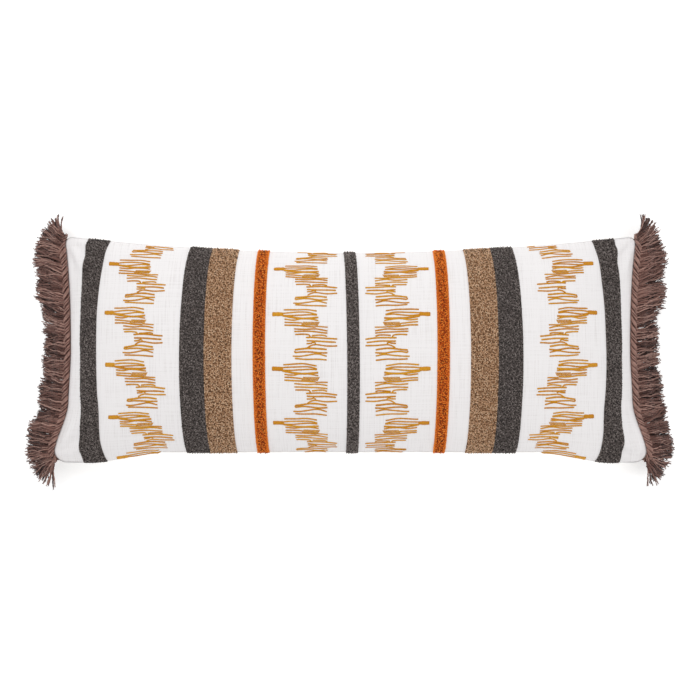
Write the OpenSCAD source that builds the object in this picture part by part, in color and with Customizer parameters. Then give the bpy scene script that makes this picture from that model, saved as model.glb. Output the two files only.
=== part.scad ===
// Long lumbar throw pillow with pile stripes, zig-zag embroidery and a fringe at each end.
// It lies on its back with the patterned face up: X runs along it, Y across it and Z up
// from the surface that it rests on. Front and back panels meet in a level seam.

/* [Cover] */
// Half length of the cover at the middle of an end seam
half_length = 440; // [430:1:450]
// How far the two upper corners (+Y) stand out past the middle of the end seam
corner_out_top = 10; // [4:1:14]
// How far the two lower corners (-Y) stand out past the middle of the end seam
corner_out_bottom = 24; // [10:1:28]
// Half width at the middle of the upper long seam (+Y)
half_width_top = 152; // [148:1:158]
// Half width at the middle of the lower long seam (-Y), where the zip is
half_width_bottom = 164; // [160:1:168]
// Half width at the corners
half_width_corner = 178; // [172:1:184]
// Height of the seam above the resting surface
seam_height = 52; // [46:1:56]
// Rise of the front panel above the seam
front_crown = 66; // [62:1:70]
// Drop of the back panel below the seam, before the resting surface flattens it
back_crown = 62; // [58:1:66]
// Thickness of the cover cloth
cloth = 1; // [0.8:0.1:1.2]

/* [Insert] */
// Gap in plan between the cover's seam and the insert's seam
insert_inset = 13; // [12:0.5:16]
// Gap in height between the cover's outer face and the insert
insert_drop = 1.8; // [1.6:0.1:2.4]
// Thickness of the insert's casing
casing = 0.8; // [0.6:0.1:0.9]

/* [Pile stripes] */
// Height of the looped pile
pile = 2.4; // [1.5:0.1:3]
// Width of the centre stripe
centre_w = 18; // [16:0.5:20]
// Inner edge of the rust stripe, from the middle of the pillow
rust_in = 127.5; // [124:0.5:130]
// Width of the rust stripe
rust_w = 18.5; // [16:0.5:20]
// Inner edge of the tan stripe
tan_in = 177; // [174:0.5:180]
// Width of the tan stripe
tan_w = 41.6; // [38:0.1:43]
// Width of the gray stripe beside the tan one
gray_w = 35.5; // [30:0.5:37]
// Inner edge of the gray stripe near the end seam
end_gray_in = 390; // [386:0.5:392]
// Width of the gray stripe near the end seam
end_gray_w = 22; // [18:0.5:24]

/* [Embroidery] */
// Length of one repeat of the zig-zag along the cloth, in the outer columns
outer_repeat = 78.5; // [77:0.5:82]
// Length of one repeat in the inner columns
inner_repeat = 80.5; // [78:0.5:82]
// Height along the cloth of the first tab from the top, above the middle, in the outer columns
outer_first_tab = 133; // [130:1:136]
// The same in the inner columns
inner_first_tab = 128; // [125:1:132]
// Width of one satin-stitched strand
strand_w = 1.8; // [1.2:0.1:2]
// Height of one strand above the cloth
strand_h = 0.8; // [0.5:0.1:1.2]
// Outer edge of the column next to the end stripe, from the middle of the pillow
outer_column = 371; // [368:1:374]
// Outer edge of the column next to the centre stripe
inner_column = 117; // [116:1:118]
// Width of an outer column
outer_column_w = 86; // [84:1:90]
// Width of an inner column
inner_column_w = 97; // [94:1:100]

/* [Fringe] */
// Width of the woven tape that is sewn into the end seam
tape_in = 9; // [7:0.5:9]
// Width of the plaited heading
braid_w = 12; // [10:0.5:14]
// Thickness of the plaited heading
braid_t = 7; // [5:0.5:8]
// How far the yarn reaches out past the heading
yarn_reach = 42; // [36:1:48]
// How far the yarn tips hang below the seam
yarn_drop = 30; // [20:1:36]
// Number of yarn clumps on one end
clumps = 24; // [20:1:26]

/* [Zip] */
// Half length of the zip's chain
zip_half = 277; // [250:1:277]
// Half height of the slot between the two panels along the zip
slot_half = 4.6; // [4.4:0.1:5]
// Radius of one nylon coil
coil_r = 1.1; // [0.9:0.05:1.1]
// Length of the slider's body
slider_l = 10; // [8:0.5:10]
// Length of the pull from its hinge pin to its tip
pull_l = 22; // [16:0.5:22]
// Radius of the hinge pin between slider and pull
pin_r = 0.5; // [0.4:0.05:0.5]

/* [Hidden] */
$fn = 48;

// Half width of the cloth as cut, from the crown line to a long seam
cut_half_width = 177.8;
// Powers that set how full the cushion is across and along
full_across = 1.35;
full_along = 0.6;
// Part of the half length along which the lower seam is straight
straight = 0.682;
// Half gap between the two panels at the end seams and at the long seams
end_gap = 0.4;
long_gap = 0.05;
// Air between two layers that lie on each other
air = 0.05;
// End of the slot on each side of the zip, and where the seam has closed again
slot_end = 297;
slot_shut = 303;
gray_in = tan_in + tan_w + 0.4;

// Grid lines along the pillow: every stripe edge is one of them
half_lines = [centre_w / 2, 68, rust_in, rust_in + rust_w, tan_in, tan_in + tan_w,
              gray_in, gray_in + gray_w, slot_end, slot_shut, 346, end_gray_in,
              end_gray_in + end_gray_w, half_length - 14, half_length - 5, half_length];
panel_lines = concat([for (i = [len(half_lines) - 1:-1:0]) -half_lines[i]], half_lines);
insert_lines = [for (k = [-8:8]) half_length * sin(k * 90 / 8)];

// Grid angles across the pillow, -90 at the lower seam and 90 at the upper one
panel_step = 10;
insert_step = 15;

// Zip frame: the chain runs along X at this Y, in the plane of the seam
chain_y = -(half_width_bottom - 7);
coil_off = coil_r + 0.35;
zip_tape_t = 0.5;
zip_tape_top = 8;
zip_tape_half = 290;
stop_l = 3;
slider_x = zip_half - slider_l / 2 - 2;
plate_t = 0.9;
plate_in = coil_r + 0.3;
slider_half_h = 3.6;
eye_r = 1.15;
eye_half_w = 1.3;
pin_play = 0.08;
pull_t = 1.2;
pull_half_w = 2.5;
hinge_off = plate_in + plate_t + 0.15 + eye_r;
lug_t = 0.7;
lug_r = 1.1;

// A ramp from 0 to 1 with level ends
function smooth(k) = let (c = min(1, max(0, k))) c * c * (3 - 2 * c);

// Outline of the seam in plan
function end_x(t) = half_length + (t > 0 ? corner_out_top : corner_out_bottom) * pow(abs(t), 2.4);
function top_y(s) = half_width_top + (half_width_corner - half_width_top) * s * s;
function bottom_y(s) = half_width_bottom
    + (half_width_corner - half_width_bottom) * smooth((abs(s) - straight) / (0.9 - straight));
function side_y(s, a) = a > 0 ? top_y(s) : bottom_y(s);

// Point in plan at s (-1 to 1 along) and angle a across, drawn in by inset
function plan(s, a, inset) =
    [s * (half_length - inset) + (end_x(sin(a)) - half_length) * pow(s, 5),
     sin(a) * (side_y(s, a) - inset)];

// How full the cushion is at s and a, 1 at the crown and 0 at the seam
function along(s) = pow(max(0, 1 - pow(abs(s), 4)), full_along);
function swell(s, a) = pow(max(0, cos(a)), full_across) * along(s);
function seam_gap(s) = long_gap + (end_gap - long_gap) * pow(abs(s), 40);

// Height above the seam of a layer, and the same below it, flattened by what it rests on
function rise(s, a, inset, crown) =
    let (g = seam_gap(s)) g + (crown - inset - g) * swell(s, a);
function front_point(s, a, inset, drop) =
    concat(plan(s, a, inset), seam_height + rise(s, a, drop, front_crown));
function back_point(s, a, inset, drop) =
    concat(plan(s, a, inset), seam_height - min(seam_height - drop, rise(s, a, drop, back_crown)));

// Angle of the edge at the lower seam, where the slot for the zip stands open
function slot_angle(s, drop, crown) =
    let (g = seam_gap(s)) -acos(pow((slot_half - g) / ((crown - drop - g) * along(s)), 1 / full_across));
function edge_angle(x, drop, crown) = abs(x) < slot_shut ? slot_angle(x / half_length, drop, crown) : -90;

// Rows of points of one layer of a panel, over the grid lines
function front_grid(lines, step, inset, drop, slot) =
    [for (x = lines) [for (a = [-90:step:90]) front_point(x / half_length,
        a == -90 && slot ? edge_angle(x, drop, front_crown) : a, inset, drop)]];
function back_grid(lines, step, inset, drop, slot) =
    [for (x = lines) [for (a = [-90:step:90]) back_point(x / half_length,
        a == -90 && slot ? edge_angle(x, drop, back_crown) : a, inset, drop)]];

// Point rounded to a thousandth of a millimetre
function snap(p) = [for (c = p) round(c * 1000) / 1000];

// Closed solid between two grids of points, upper above lower
module sheet(upper, lower) {
    n = len(upper);
    m = len(upper[0]);
    u = [for (i = [0:n - 1]) [for (j = [0:m - 1]) i * m + j]];
    w = [for (i = [0:n - 1]) [for (j = [0:m - 1]) n * m + i * m + j]];
    quads = concat(
        [for (i = [0:n - 2]) for (j = [0:m - 2]) [u[i][j], u[i][j + 1], u[i + 1][j + 1], u[i + 1][j]]],
        [for (i = [0:n - 2]) for (j = [0:m - 2]) [w[i][j], w[i + 1][j], w[i + 1][j + 1], w[i][j + 1]]],
        [for (i = [0:n - 2]) [u[i][0], u[i + 1][0], w[i + 1][0], w[i][0]]],
        [for (i = [0:n - 2]) [u[i + 1][m - 1], u[i][m - 1], w[i][m - 1], w[i + 1][m - 1]]],
        [for (j = [0:m - 2]) [u[0][j + 1], u[0][j], w[0][j], w[0][j + 1]]],
        [for (j = [0:m - 2]) [u[n - 1][j], u[n - 1][j + 1], w[n - 1][j + 1], w[n - 1][j]]]);
    polyhedron([for (g = [upper, lower]) for (r = g) for (p = r) snap(p)],
               [for (k = [len(quads) - 1:-1:0]) let (q = quads[k])
                   each [[q[0], q[1], q[3]], [q[1], q[2], q[3]]]], convexity = 4);
}

// Closed tube through rings of points
module tube(rings) {
    n = len(rings);
    k = len(rings[0]);
    walls = [for (i = [0:n - 2]) for (j = [0:k - 1]) each [
        [i * k + j, (i + 1) * k + (j + 1) % k, (i + 1) * k + j],
        [i * k + j, i * k + (j + 1) % k, (i + 1) * k + (j + 1) % k]]];
    ends = [[for (j = [k - 1:-1:0]) j], [for (j = [0:k - 1]) (n - 1) * k + j]];
    polyhedron([for (r = rings) for (p = r) snap(p)], concat(walls, ends), convexity = 4);
}

module front_panel() {
    color("#eeece9") sheet(front_grid(panel_lines, panel_step, 0, 0, true),
                           front_grid(panel_lines, panel_step, cloth, cloth, true));
}

module back_panel() {
    color("#e8e5e0") sheet(back_grid(panel_lines, panel_step, cloth, cloth, true),
                           back_grid(panel_lines, panel_step, 0, 0, true));
}

module insert_front() {
    color("#f7f7f5") sheet(
        front_grid(insert_lines, insert_step, insert_inset, insert_drop, false),
        front_grid(insert_lines, insert_step, insert_inset + casing, insert_drop + casing, false));
}

module insert_back() {
    color("#f7f7f5") sheet(
        back_grid(insert_lines, insert_step, insert_inset + casing, insert_drop + casing, false),
        back_grid(insert_lines, insert_step, insert_inset, insert_drop, false));
}

module fibre_fill() {
    inset = insert_inset + casing + 0.5;
    drop = insert_drop + casing + 0.3;
    color("#fbfbfb") sheet(front_grid(insert_lines, insert_step, inset, drop, false),
                           back_grid(insert_lines, insert_step, inset, drop, false));
}

// Band of looped pile on the front panel, from x0 to x1, running from seam to seam
module pile_band(x0, x1, tint) {
    color(tint) sheet(front_grid([x0, x1], panel_step, -air - pile, -air - pile, true),
                      front_grid([x0, x1], panel_step, -air, -air, true));
}

module band_pair(side, inner, width, tint) {
    x0 = side > 0 ? inner : -inner - width;
    pile_band(x0, x0 + width, tint);
}

// Angle across the pillow of a point that lies v along the cloth from the crown line
function cloth_angle(s, v) =
    let (t = v / cut_half_width, k = cut_half_width / side_y(s, v))
    asin(max(-1, min(1, t * (k - (k - 1) * pow(t, 4)))));

function unit(p) = p / norm(p);

// Point of the front panel over x, on the line at angle a across
function over(x, a) = front_point(x / half_length, a, 0, 0);

// One straight strand from x0 to x1 at v along the cloth, laid in the plane that touches the
// front panel under its middle and lifted clear of the cloth all the way
module strand(x0, x1, v, width) {
    x = (x0 + x1) / 2;
    a = cloth_angle(x / half_length, v);
    p = over(x, a);
    py = over(x, a + 1) - over(x, a - 1);
    px = over(x + 4, a) - over(x - 4, a);
    ex = unit(px - py * (px[1] / py[1]));
    ez = unit(cross(ex, py));
    ey = cross(ez, ex);
    half = (x1 - x0) / 2;
    hump = max([for (k = [-4:4]) for (b = [-2:2])
        (over(x + k / 4 * half, cloth_angle(x / half_length, v + b * width / 3)) - p) * ez]);
    lift = max(0, hump) + 6 * air;
    multmatrix([[ex[0], ey[0], ez[0], p[0]], [ex[1], ey[1], ez[1], p[1]],
                [ex[2], ey[2], ez[2], p[2]], [0, 0, 0, 1]])
        translate([-half, -width / 2, lift]) cube([2 * half, width, strand_h]);
}

// Strands of one repeat, in shares of the column's width and of the repeat: start and end from the
// column's outer edge, height above the tab, and the strand's width in millimetres
tab_w = 5.2;
wide_strand_w = 2.6;
repeat_strands = [
    [0, 0.15, 0, tab_w],
    [0.16, 0.68, 0.08, strand_w], [0.16, 0.68, 0.03, strand_w], [0.16, 0.68, -0.015, strand_w],
    [0.16, 0.7, -0.062, wide_strand_w], [0.17, 0.7, -0.1, strand_w], [0.17, 0.46, -0.16, strand_w],
    [0.46, 0.7, -0.175, strand_w], [0.17, 0.64, -0.21, strand_w],
    [0.33, 0.85, -0.265, strand_w], [0.33, 0.85, -0.325, strand_w], [0.34, 0.84, -0.385, strand_w],
    [0.51, 1, -0.445, strand_w], [0.51, 0.98, -0.505, strand_w], [0.53, 1, -0.57, strand_w],
    [0.33, 0.84, -0.64, strand_w], [0.33, 0.84, -0.7, strand_w], [0.31, 0.84, -0.765, strand_w],
    [0.33, 0.84, -0.83, strand_w]];

// Column of zig-zag embroidery whose tabs point to the near end of the pillow
module embroidery(side, edge, width, first_tab, repeat) {
    limit = cut_half_width - 12;
    color("#d9983a") for (n = [-1:4]) for (q = repeat_strands) {
        v = first_tab + (q[2] - n) * repeat;
        x0 = edge - q[1] * width;
        x1 = edge - q[0] * width;
        if (abs(v) < limit)
            strand(side > 0 ? x0 : -x1, side > 0 ? x1 : -x0, v, q[3]);
    }
}

module outer_embroidery(side) {
    embroidery(side, outer_column, outer_column_w, outer_first_tab, outer_repeat);
}

module inner_embroidery(side) {
    embroidery(side, inner_column, inner_column_w, inner_first_tab, inner_repeat);
}

// Woven tape in the end seam, between the rims of the two panels
module fringe_tape(side) {
    steps = 16;
    ys = [for (i = [-steps:steps]) i / steps * (half_width_corner - 4)];
    function out(y, d) = [side * (end_x(y / half_width_corner) + d), y];
    color("#6f5249") translate([0, 0, seam_height - 0.3]) linear_extrude(0.6)
        polygon(concat([for (y = ys) out(y, -tape_in)],
                       [for (i = [len(ys) - 1:-1:0]) out(ys[i], 0.4)]));
}

// Middle of the plaited heading, which runs on a little past the corners
braid_half = half_width_corner + 7;
function braid_x(y) = end_x(max(-1, min(1, y / half_width_corner))) + 0.6 + braid_w / 2;

module fringe_braid(side) {
    lobes = 26;
    sides = 10;
    rings = [for (i = [0:2 * lobes])
        let (y = -braid_half + i * braid_half / lobes, k = i % 2 == 0 ? 0.78 : 0.98)
        [for (j = [0:sides - 1]) let (b = side * j * 360 / sides)
            [side * (braid_x(y) + k * braid_w / 2 * cos(b)), y, seam_height + k * braid_t / 2 * sin(b)]]];
    color("#7a5b52") tube(rings);
}

// Clump of yarn that leaves the heading at y, leans by turn degrees and droops
module yarn_clump(side, y, turn, width) {
    sides = 6;
    steps = 4;
    x0 = max(braid_x(y - width / 2), braid_x(y + width / 2))
        + braid_w / 2 + 0.3 + width / 2 * abs(sin(turn));
    rings = [for (i = [0:steps])
        let (r = i / steps, w = width * (1 + 0.1 * r), h = 8 - 3 * r)
        [for (j = [0:sides - 1]) let (b = -side * (j + 0.5) * 360 / sides, out = yarn_reach * r)
            [side * (x0 + out * cos(turn) - w / 2 * cos(b) * sin(turn)),
             y + out * sin(turn) + w / 2 * cos(b) * cos(turn),
             seam_height - yarn_drop * pow(r, 1.8) + h / 2 * sin(b)]]];
    tube(rings);
}

module fringe_yarn(side) {
    pitch = 2 * (braid_half - 6) / clumps;
    color("#7d5e55") for (i = [0:clumps - 1]) {
        y = -braid_half + 6 + (i + 0.5) * pitch;
        k = smooth((abs(y) - 0.76 * braid_half) / (0.2 * braid_half));
        yarn_clump(side, y, sign(y) * 74 * k, pitch * (0.86 - 0.3 * k));
    }
}

module zip_tape(side) {
    color("#e6e2da") translate([-zip_tape_half, chain_y - zip_tape_t / 2,
        seam_height + (side > 0 ? coil_off + coil_r + 0.1 : -zip_tape_top)])
        cube([2 * zip_tape_half, zip_tape_t, zip_tape_top - coil_off - coil_r - 0.1]);
}

module zip_coil(side) {
    color("#dcd8cf") translate([-zip_half, chain_y, seam_height + side * coil_off])
        rotate([0, 90, 0]) cylinder(h = 2 * zip_half, r = coil_r);
}

module zip_top_stop() {
    color("#b9bcc0") for (side = [-1, 1])
        translate([zip_half + 0.2, chain_y - 1.2, seam_height + (side > 0 ? 0.3 : -2.5)])
            cube([stop_l, 2.4, 2.2]);
}

module zip_bottom_stop() {
    color("#b9bcc0") translate([-zip_half - 0.2 - stop_l, chain_y - 1.2, seam_height - 2.5])
        cube([stop_l, 2.4, 5]);
}

// Slider: two plates joined by a web between the coils, with flanges round them and two
// lugs that hold the hinge pin
module zip_slider() {
    web_t = 0.34;
    flange_t = 0.7;
    tape_gap = 0.55;
    color("#c3c6ca") translate([slider_x, chain_y, seam_height]) {
        for (side = [-1, 1]) translate([-slider_l / 2, side > 0 ? plate_in : -plate_in - plate_t,
            -slider_half_h]) cube([slider_l, plate_t, 2 * slider_half_h]);
        translate([-2.5, -plate_in - 0.1, -web_t / 2]) cube([5, 2 * plate_in + 0.2, web_t]);
        for (side = [-1, 1]) for (face = [-1, 1])
            translate([-slider_l / 2, side > 0 ? tape_gap : -plate_in - 0.1,
                face > 0 ? slider_half_h - flange_t : -slider_half_h])
                cube([slider_l, plate_in + 0.1 - tape_gap, flange_t]);
        for (face = [-1, 1]) translate([0, -hinge_off, face > 0 ? eye_half_w + 0.2
            : -eye_half_w - 0.2 - lug_t]) {
            cylinder(h = lug_t, r = lug_r);
            translate([-lug_r, 0, 0]) cube([2 * lug_r, hinge_off - plate_in - 0.1, lug_t]);
        }
        translate([0, -hinge_off, -eye_half_w - 0.5]) cylinder(h = 2 * eye_half_w + 1, r = pin_r);
    }
}

// Pull: an eye round the pin and a drop-shaped tag that lies along the chain
module zip_pull() {
    color("#c3c6ca") translate([slider_x, chain_y - hinge_off, seam_height]) difference() {
        union() {
            translate([0, 0, -eye_half_w]) cylinder(h = 2 * eye_half_w, r = eye_r);
            translate([-4, -pull_t / 2, -eye_half_w]) cube([4, pull_t, 2 * eye_half_w]);
            rotate([90, 0, 0]) translate([0, 0, -pull_t / 2]) linear_extrude(pull_t) {
                polygon([[-2.4, -eye_half_w], [-5, -1.9], [-pull_l + pull_half_w, -pull_half_w],
                         [-pull_l + pull_half_w, pull_half_w], [-5, 1.9], [-2.4, eye_half_w]]);
                translate([-pull_l + pull_half_w, 0]) circle(r = pull_half_w);
            }
        }
        translate([0, 0, -5]) cylinder(h = 10, r = pin_r + pin_play);
        translate([-pull_l + pull_half_w, 5, 0]) rotate([90, 0, 0]) cylinder(h = 10, r = 1.2);
    }
}

// Blank care label, folded and sewn inside the lower seam beyond the end of the zip
module care_label() {
    label_in = 1.6;
    label_d = 7;
    edge = [for (i = [0:6]) plan(0.745 + 0.011 * i, -90, 0)];
    color("#ffffff") translate([0, label_in, seam_height - 0.2]) linear_extrude(0.4)
        polygon(concat(edge, [for (i = [6:-1:0]) edge[i] + [0, label_d]]));
}

front_panel();
back_panel();
insert_front();
insert_back();
fibre_fill();
pile_band(-centre_w / 2, centre_w / 2, "#55504f");  // centre_stripe
band_pair(-1, rust_in, rust_w, "#bf6026");  // rust_stripe_left
band_pair(1, rust_in, rust_w, "#bf6026");  // rust_stripe_right
band_pair(-1, tan_in, tan_w, "#aa886a");  // tan_stripe_left
band_pair(1, tan_in, tan_w, "#aa886a");  // tan_stripe_right
band_pair(-1, gray_in, gray_w, "#55504f");  // gray_stripe_left
band_pair(1, gray_in, gray_w, "#55504f");  // gray_stripe_right
band_pair(-1, end_gray_in, end_gray_w, "#55504f");  // end_gray_stripe_left
band_pair(1, end_gray_in, end_gray_w, "#55504f");  // end_gray_stripe_right
outer_embroidery(-1);  // embroidery_outer_left
inner_embroidery(-1);  // embroidery_inner_left
inner_embroidery(1);  // embroidery_inner_right
outer_embroidery(1);  // embroidery_outer_right
fringe_tape(-1);  // fringe_tape_left
fringe_tape(1);  // fringe_tape_right
fringe_braid(-1);  // fringe_braid_left
fringe_braid(1);  // fringe_braid_right
fringe_yarn(-1);  // fringe_yarn_left
fringe_yarn(1);  // fringe_yarn_right
zip_tape(1);  // zip_tape_upper
zip_tape(-1);  // zip_tape_lower
zip_coil(1);  // zip_coil_upper
zip_coil(-1);  // zip_coil_lower
zip_top_stop();
zip_bottom_stop();
zip_slider();
zip_pull();
care_label();
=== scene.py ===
"""Long lumbar throw pillow: a stuffed cotton cover with looped-pile stripes, zig-zag embroidery,
a plaited yarn fringe at both ends and a zip in the lower seam.

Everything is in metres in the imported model's frame: X along the pillow, Y across it, Z up from the
surface that it lies on. A place on the cloth is given as (u, v) on the flat panel, as it was cut,
and the simulated cover says where that place is.
"""
import math

import bpy
import numpy as np
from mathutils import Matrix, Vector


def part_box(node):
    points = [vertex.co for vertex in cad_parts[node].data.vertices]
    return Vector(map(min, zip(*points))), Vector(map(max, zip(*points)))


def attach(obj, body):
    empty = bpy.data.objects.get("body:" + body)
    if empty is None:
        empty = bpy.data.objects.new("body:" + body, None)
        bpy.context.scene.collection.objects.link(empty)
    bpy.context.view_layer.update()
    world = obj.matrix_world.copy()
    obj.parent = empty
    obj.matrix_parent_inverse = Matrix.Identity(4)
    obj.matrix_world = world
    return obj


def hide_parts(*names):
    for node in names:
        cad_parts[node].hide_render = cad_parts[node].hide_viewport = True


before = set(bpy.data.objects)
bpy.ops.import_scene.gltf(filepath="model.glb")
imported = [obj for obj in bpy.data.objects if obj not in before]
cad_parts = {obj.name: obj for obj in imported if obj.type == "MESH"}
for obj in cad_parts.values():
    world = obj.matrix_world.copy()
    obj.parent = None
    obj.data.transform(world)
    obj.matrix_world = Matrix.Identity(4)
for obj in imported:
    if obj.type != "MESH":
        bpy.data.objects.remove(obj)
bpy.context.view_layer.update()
scene = bpy.context.scene

MM = 0.001
COVER = "cover"
SIDES = ((-1, "left"), (1, "right"))

# ---- sizes

# The panels as they were cut, half length and half width
CUT_L = 457.2 * MM
CUT_W = 177.8 * MM

# Outline of the seam in plan, as in the CAD part
HALF_LENGTH = 440 * MM
CORNER_OUT_TOP = 10 * MM
CORNER_OUT_BOTTOM = 24 * MM
HALF_WIDTH_TOP = 152 * MM
HALF_WIDTH_BOTTOM = 164 * MM
HALF_WIDTH_CORNER = 178 * MM
STRAIGHT_SHARE = 0.682
BEND_END_SHARE = 0.9

# Heights from the frame: the seam lies halfway between the zip's two coils
SEAM_Z = (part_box("zip_coil_upper")[0].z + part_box("zip_coil_lower")[1].z) / 2
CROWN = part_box("front_panel")[1].z - SEAM_Z
BACK_CROWN = 62 * MM

# Cloth and its seams. The grid is that of the simulated cloth
GRID_U = 132
GRID_V = 52
CLOTH_T = 0.8 * MM
SEAM_GAP = 0.05 * MM
TAPE_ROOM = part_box("fringe_tape_left")[1].z - SEAM_Z + 0.05 * MM
SLOT_HALF = 4.6 * MM
SLOT_END = 297 * MM
SLOT_SHUT = 303 * MM
SLOT_FADE = 25 * MM
TAPE_IN = 9 * MM

# Stripes: for the inner and the outer edge, its distance from the middle of the flat panel in mm,
# and how far it leans and bows towards the long seams
PATTERN_SHIFT = 1.1 * MM
PILE_PITCH = 1.95 * MM
LOOP_R = 0.52 * MM
BACKING_T = 1.0 * MM
STRIPES = {
    "rust_stripe": dict(inner=(128.2, 0.0, -0.5), outer=(146.8, 0.0, -0.5), slot="rust_pile"),
    "tan_stripe": dict(inner=(178.6, -1.2, -2.0), outer=(220.2, -1.2, -2.0), slot="tan_pile"),
    "gray_stripe": dict(inner=(220.4, -1.2, -2.0), outer=(258.0, -2.0, -4.0), slot="gray_pile"),
    "end_gray_stripe": dict(inner=(397.5, 1.2, -18.2), outer=(429.0, 2.0, -14.0), slot="gray_pile"),
}
CENTRE_STRIPE_W = 18.6 * MM

# Embroidery: outer edge of a column on the flat panel, its lean and bow, and its tabs' heights
COLUMN_W = 97 * MM
STRAND_W = 2.25 * MM
STRAND_H = 0.8 * MM
COLUMNS = {
    "embroidery_outer": dict(edge=(380.0, 5.0, -13.0), tabs=(211.5, 133.5, 56, -23, -102, -175)),
    "embroidery_inner": dict(edge=(117.0, 0.0, 1.0), tabs=(204, 128.5, 53, -29, -113, -196)),
}

# Fringe: its plaited heading, and the loose yarns below it
BRAID_HALF = 185 * MM
BRAID_W = 12 * MM
BRAID_IN = 0.7 * MM
BRAID_YARN_R = 0.72 * MM
YARN_R = 0.92 * MM
YARN_LOBE = 0.25
CLUMPS = 19
YARNS_PER_CLUMP = 84
ALONG_YARN = np.linspace(0, 1, 13)

# Camera, from the seam's plane, and what the lights aim at
CAMERA_UP = 1.225
CAMERA_LENS = 40.05
CAMERA_OFF = -0.8 * MM
AIM = (0, 0, 0.05)


# ---- small helpers

def smooth(k):
    """A ramp from 0 to 1 with level ends."""
    c = np.clip(k, 0, 1)
    return c * c * (3 - 2 * c)


def unit(a):
    return a / np.maximum(np.linalg.norm(a, axis=-1, keepdims=True), 1e-12)


def ripple(seed, wavelength):
    """A smooth, random-looking function of (u, v) between about -1 and 1."""
    rng = np.random.default_rng(seed)
    count = 14
    angle = rng.uniform(0, math.tau, count)
    number = math.tau / (wavelength * rng.uniform(0.7, 1.6, count))
    phase = rng.uniform(0, math.tau, count)

    def value(u, v):
        u, v = np.asarray(u)[..., None], np.asarray(v)[..., None]
        waves = np.sin(number * (np.cos(angle) * u + np.sin(angle) * v) + phase)
        return waves.sum(-1) / math.sqrt(count)

    return value


def grid(a, b):
    return np.meshgrid(a, b, indexing="ij")


def flat_grid(rows, columns):
    """(u, v) over the whole flat panel."""
    return grid(np.linspace(-CUT_L, CUT_L, rows), np.linspace(-CUT_W, CUT_W, columns))


def spline_weights(t):
    """Weights of four points for the place t of the way between the middle two, on a smooth curve."""
    return [(-t + 2 * t**2 - t**3) / 2, (2 - 5 * t**2 + 3 * t**3) / 2,
            (t + 4 * t**2 - 3 * t**3) / 2, (t**3 - t**2) / 2]


def extended(a):
    """a with one more point, or line of points, straight on past each end."""
    return np.concatenate([2 * a[:1] - a[1:2], a, 2 * a[-1:] - a[-2:-1]])


def along_curve(points, step):
    """Points of a smooth curve through the given ones, about step apart."""
    p = extended(points)
    out = []
    for k in range(len(p) - 3):
        count = max(2, round(np.linalg.norm(p[k + 2] - p[k + 1]) / step))
        t = np.linspace(0, 1, count, endpoint=False)
        out.append(np.stack(spline_weights(t), -1) @ p[k:k + 4])
    return np.vstack([*out, p[-2]])


def running_sum(steps):
    """Sums along the last axis, from 0."""
    return np.cumsum(np.insert(steps, 0, 0, -1), -1)


def distance(paths):
    """How far along its path each point is."""
    return running_sum(np.linalg.norm(np.diff(paths, axis=-2), axis=-1))


# ---- meshes

UP = (0, 0, 1)


def set_all(thing, **values):
    for key, value in values.items():
        setattr(thing, key, value)


def new_object(name, data):
    thing = bpy.data.objects.new(name, data)
    scene.collection.objects.link(thing)
    return thing


class Shape:
    """Vertices, faces and per-vertex values of one piece, gathered part by part."""

    def __init__(self):
        self.points, self.faces, self.values, self.count = [], {}, {}, 0

    def add(self, points, faces, **values):
        points = points.reshape(-1, 3)
        for face in faces:
            self.faces.setdefault(face.shape[1], []).append(face + self.count)
        for key, value in values.items():
            value = np.broadcast_to(value, (len(points), *np.shape(value)[1:]))
            self.values.setdefault(key, []).append(value)
        self.points.append(points)
        self.count += len(points)

    def shell(self, upper, lower, flip=False, **values):
        """Adds a closed shell between two grids of points."""
        rows, columns = upper.shape[:2]
        n = rows * columns
        i = np.arange(n).reshape(rows, columns)
        rim = np.concatenate([i[:, 0], i[-1, 1:], i[-2::-1, -1], i[0, -2::-1]])
        wall = np.stack([rim[:-1], rim[:-1] + n, rim[1:] + n, rim[1:]], -1)
        faces = [grid_quads(rows, columns), grid_quads(rows, columns)[:, ::-1] + n, wall]
        if flip:
            faces = [f[:, ::-1] for f in faces]
        self.add(np.concatenate([upper.reshape(-1, 3), lower.reshape(-1, 3)]), faces, **values)

    def piece(self, name, material, slot, replaced=()):
        """The finished object, which rides on the cover."""
        groups = [np.vstack(self.faces[k]) for k in sorted(self.faces)]
        corners = np.concatenate([g.ravel() for g in groups])
        sizes = np.concatenate([np.full(len(g), g.shape[1]) for g in groups])
        mesh = bpy.data.meshes.new(name)
        mesh.vertices.add(self.count)
        mesh.vertices.foreach_set("co", np.vstack(self.points).astype(np.float32).ravel())
        mesh.loops.add(len(corners))
        mesh.loops.foreach_set("vertex_index", corners.astype(np.int32))
        mesh.polygons.add(len(sizes))
        mesh.polygons.foreach_set("loop_start", (np.cumsum(sizes) - sizes).astype(np.int32))
        mesh.update(calc_edges=True)
        mesh.shade_smooth()
        for key, parts in self.values.items():
            value = np.concatenate(parts).astype(np.float32)
            kind, field = ("FLOAT", "value") if value.ndim == 1 else ("FLOAT_VECTOR", "vector")
            mesh.attributes.new(key, kind, "POINT").data.foreach_set(field, value.ravel())
        mesh.materials.append(material)
        piece = new_object(name, mesh)
        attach(piece, COVER)
        if replaced:
            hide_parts(*replaced)
        return piece


def grid_quads(rows, columns):
    i = np.arange(rows * columns).reshape(rows, columns)
    return np.stack([i[:-1, :-1], i[1:, :-1], i[1:, 1:], i[:-1, 1:]], -1).reshape(-1, 4)


def tube_faces(rings, sides):
    """The wall and the two ends of a tube."""
    ring = np.arange(sides)
    start = np.arange(rings - 1)[:, None] * sides
    one, after = (start + ring).ravel(), (start + np.roll(ring, -1)).ravel()
    wall = np.stack([one, after, after + sides, one + sides], -1)
    return wall, np.stack([ring[::-1], ring + (rings - 1) * sides])


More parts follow.
